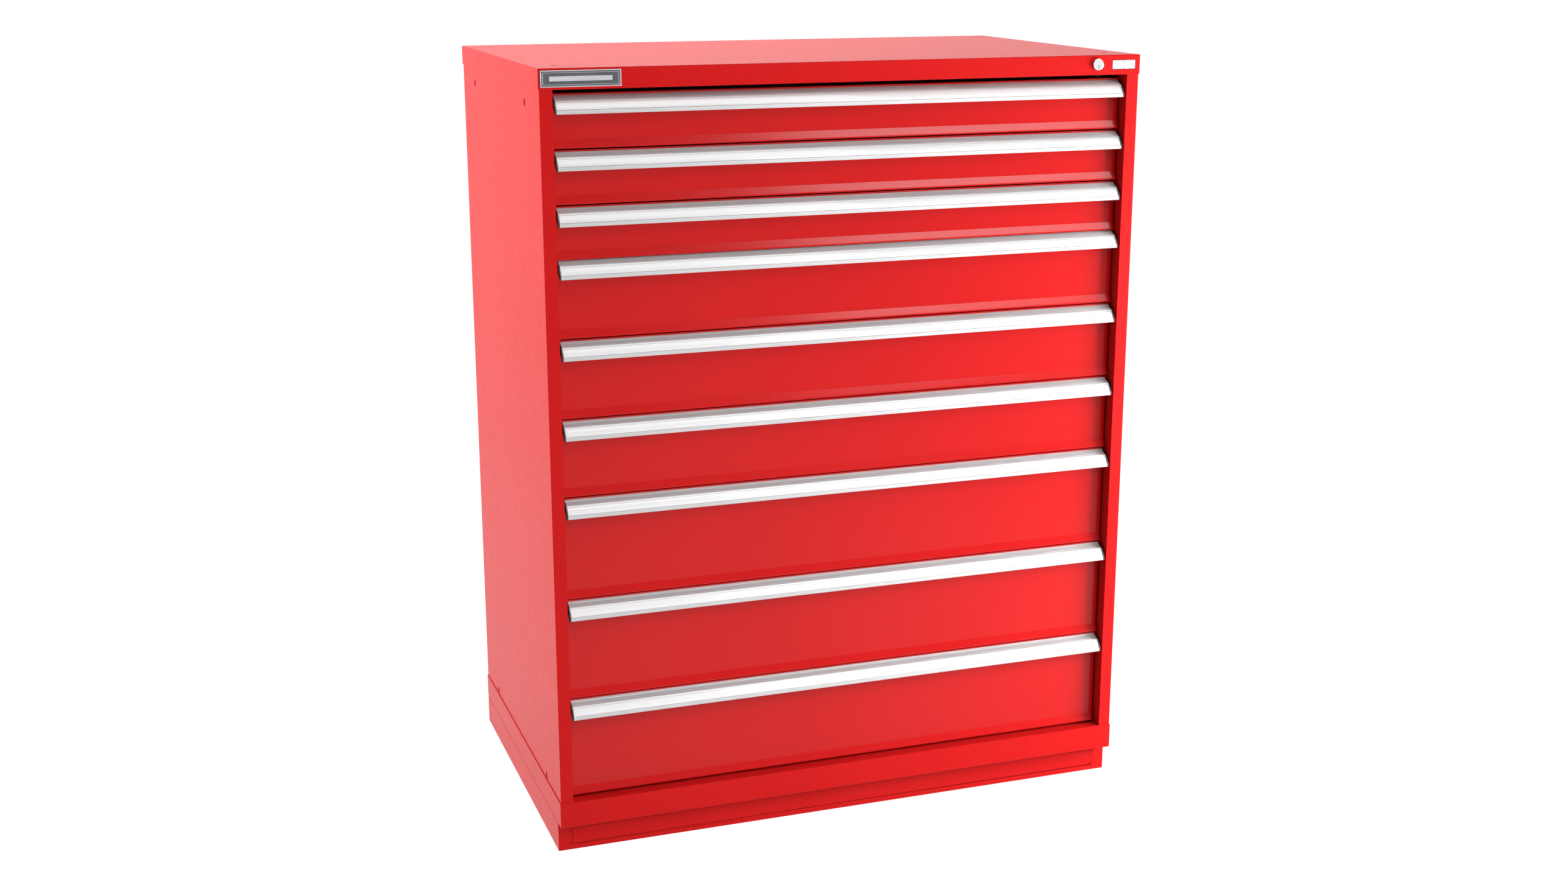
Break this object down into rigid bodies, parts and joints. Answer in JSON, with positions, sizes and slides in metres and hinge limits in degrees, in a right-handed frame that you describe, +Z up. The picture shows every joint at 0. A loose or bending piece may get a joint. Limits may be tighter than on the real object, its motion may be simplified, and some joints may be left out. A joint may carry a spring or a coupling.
{
  "type": "modular tool drawer cabinet",
  "caption": "Sheet-steel tool cabinet on a recessed plinth: full-width drawers of graded heights on full-extension slides, extruded handles with label strips, and a keyed lock bar.",
  "frame": {"origin": "middle of the footprint's box on the floor", "axes": "+X to the right as seen from the drawers, +Y to the back, +Z up"},
  "size_m": [1.1938, 0.73, 1.5113],
  "materials": {
    "red_paint": "gloss red powder coat",
    "tray_steel": "light grey powder coat",
    "handle_aluminium": "satin anodised",
    "label_strip": "clear cover over a white label",
    "end_cap_plastic": "black moulded",
    "slide_steel": "zinc plated",
    "badge_plate": "printed plate with a bright border",
    "lock_chrome": "polished"
  },
  "bodies": {
    "cabinet": {"side_panel_left": "red_paint", "side_panel_right": "red_paint", "back_panel": "red_paint", "upright_channels": "slide_steel", "slide_rails": "slide_steel", "top_lid": "red_paint", "bottom_cap": "red_paint", "base_front_plate": "red_paint", "base_rear_plate": "red_paint", "base_side_rails": "red_paint", "base_screws": "red_paint", "badge_plate": "badge_plate", "lock_barrel": "lock_chrome"},
    "drawer_1": {"drawer_1_tray": "tray_steel", "drawer_1_front": "red_paint", "drawer_1_handle": "handle_aluminium", "drawer_1_end_caps": "end_cap_plastic"},
    "carriage_1": {"drawer_1_slide_carriage": "slide_steel"},
    "drawer_2": {"drawer_2_tray": "tray_steel", "drawer_2_front": "red_paint", "drawer_2_handle": "handle_aluminium", "drawer_2_end_caps": "end_cap_plastic"},
    "carriage_2": {"drawer_2_slide_carriage": "slide_steel"},
    "drawer_3": {"drawer_3_tray": "tray_steel", "drawer_3_front": "red_paint", "drawer_3_handle": "handle_aluminium", "drawer_3_end_caps": "end_cap_plastic"},
    "carriage_3": {"drawer_3_slide_carriage": "slide_steel"},
    "drawer_4": {"drawer_4_tray": "tray_steel", "drawer_4_front": "red_paint", "drawer_4_handle": "handle_aluminium", "drawer_4_end_caps": "end_cap_plastic"},
    "carriage_4": {"drawer_4_slide_carriage": "slide_steel"},
    "drawer_5": {"drawer_5_tray": "tray_steel", "drawer_5_front": "red_paint", "drawer_5_handle": "handle_aluminium", "drawer_5_end_caps": "end_cap_plastic"},
    "carriage_5": {"drawer_5_slide_carriage": "slide_steel"},
    "drawer_6": {"drawer_6_tray": "tray_steel", "drawer_6_front": "red_paint", "drawer_6_handle": "handle_aluminium", "drawer_6_end_caps": "end_cap_plastic"},
    "carriage_6": {"drawer_6_slide_carriage": "slide_steel"},
    "drawer_7": {"drawer_7_tray": "tray_steel", "drawer_7_front": "red_paint", "drawer_7_handle": "handle_aluminium", "drawer_7_end_caps": "end_cap_plastic"},
    "carriage_7": {"drawer_7_slide_carriage": "slide_steel"},
    "drawer_8": {"drawer_8_tray": "tray_steel", "drawer_8_front": "red_paint", "drawer_8_handle": "handle_aluminium", "drawer_8_end_caps": "end_cap_plastic"},
    "carriage_8": {"drawer_8_slide_carriage": "slide_steel"},
    "drawer_9": {"drawer_9_tray": "tray_steel", "drawer_9_front": "red_paint", "drawer_9_handle": "handle_aluminium", "drawer_9_end_caps": "end_cap_plastic"},
    "carriage_9": {"drawer_9_slide_carriage": "slide_steel"},
    "lock_bar": {"lock_bar": "slide_steel"},
    "lock_plug": {"lock_plug": "lock_chrome"}
  },
  "joints": [
    {"name": "drawer_1_slide", "type": "slide", "parent": "cabinet", "child": "drawer_1", "axis": [0, -1, 0], "range_m": [0, 0.6]},
    {"name": "carriage_1_slide", "type": "slide", "parent": "cabinet", "child": "carriage_1", "axis": [0, -1, 0], "range_m": [0, 0.3]},
    {"name": "drawer_2_slide", "type": "slide", "parent": "cabinet", "child": "drawer_2", "axis": [0, -1, 0], "range_m": [0, 0.6]},
    {"name": "carriage_2_slide", "type": "slide", "parent": "cabinet", "child": "carriage_2", "axis": [0, -1, 0], "range_m": [0, 0.3]},
    {"name": "drawer_3_slide", "type": "slide", "parent": "cabinet", "child": "drawer_3", "axis": [0, -1, 0], "range_m": [0, 0.6]},
    {"name": "carriage_3_slide", "type": "slide", "parent": "cabinet", "child": "carriage_3", "axis": [0, -1, 0], "range_m": [0, 0.3]},
    {"name": "drawer_4_slide", "type": "slide", "parent": "cabinet", "child": "drawer_4", "axis": [0, -1, 0], "range_m": [0, 0.6]},
    {"name": "carriage_4_slide", "type": "slide", "parent": "cabinet", "child": "carriage_4", "axis": [0, -1, 0], "range_m": [0, 0.3]},
    {"name": "drawer_5_slide", "type": "slide", "parent": "cabinet", "child": "drawer_5", "axis": [0, -1, 0], "range_m": [0, 0.6]},
    {"name": "carriage_5_slide", "type": "slide", "parent": "cabinet", "child": "carriage_5", "axis": [0, -1, 0], "range_m": [0, 0.3]},
    {"name": "drawer_6_slide", "type": "slide", "parent": "cabinet", "child": "drawer_6", "axis": [0, -1, 0], "range_m": [0, 0.6]},
    {"name": "carriage_6_slide", "type": "slide", "parent": "cabinet", "child": "carriage_6", "axis": [0, -1, 0], "range_m": [0, 0.3]},
    {"name": "drawer_7_slide", "type": "slide", "parent": "cabinet", "child": "drawer_7", "axis": [0, -1, 0], "range_m": [0, 0.6]},
    {"name": "carriage_7_slide", "type": "slide", "parent": "cabinet", "child": "carriage_7", "axis": [0, -1, 0], "range_m": [0, 0.3]},
    {"name": "drawer_8_slide", "type": "slide", "parent": "cabinet", "child": "drawer_8", "axis": [0, -1, 0], "range_m": [0, 0.6]},
    {"name": "carriage_8_slide", "type": "slide", "parent": "cabinet", "child": "carriage_8", "axis": [0, -1, 0], "range_m": [0, 0.3]},
    {"name": "drawer_9_slide", "type": "slide", "parent": "cabinet", "child": "drawer_9", "axis": [0, -1, 0], "range_m": [0, 0.6]},
    {"name": "carriage_9_slide", "type": "slide", "parent": "cabinet", "child": "carriage_9", "axis": [0, -1, 0], "range_m": [0, 0.3]},
    {"name": "lock_bar_slide", "type": "slide", "parent": "cabinet", "child": "lock_bar", "axis": [0, 0, 1], "range_m": [0, 0.012]},
    {"name": "lock_plug_turn", "type": "hinge", "parent": "cabinet", "child": "lock_plug", "pos_m": [0.5041, -0.35895, 1.4892], "axis": [0, -1, 0], "range_deg": [0, 90]}
  ],
  "couplings": [
    {"joint": "carriage_1_slide", "follows": "drawer_1_slide", "ratio": 0.5},
    {"joint": "carriage_2_slide", "follows": "drawer_2_slide", "ratio": 0.5},
    {"joint": "carriage_3_slide", "follows": "drawer_3_slide", "ratio": 0.5},
    {"joint": "carriage_4_slide", "follows": "drawer_4_slide", "ratio": 0.5},
    {"joint": "carriage_5_slide", "follows": "drawer_5_slide", "ratio": 0.5},
    {"joint": "carriage_6_slide", "follows": "drawer_6_slide", "ratio": 0.5},
    {"joint": "carriage_7_slide", "follows": "drawer_7_slide", "ratio": 0.5},
    {"joint": "carriage_8_slide", "follows": "drawer_8_slide", "ratio": 0.5},
    {"joint": "carriage_9_slide", "follows": "drawer_9_slide", "ratio": 0.5},
    {"joint": "lock_plug_turn", "follows": "lock_bar_slide", "rad_per_m": 130.8}
  ]
}
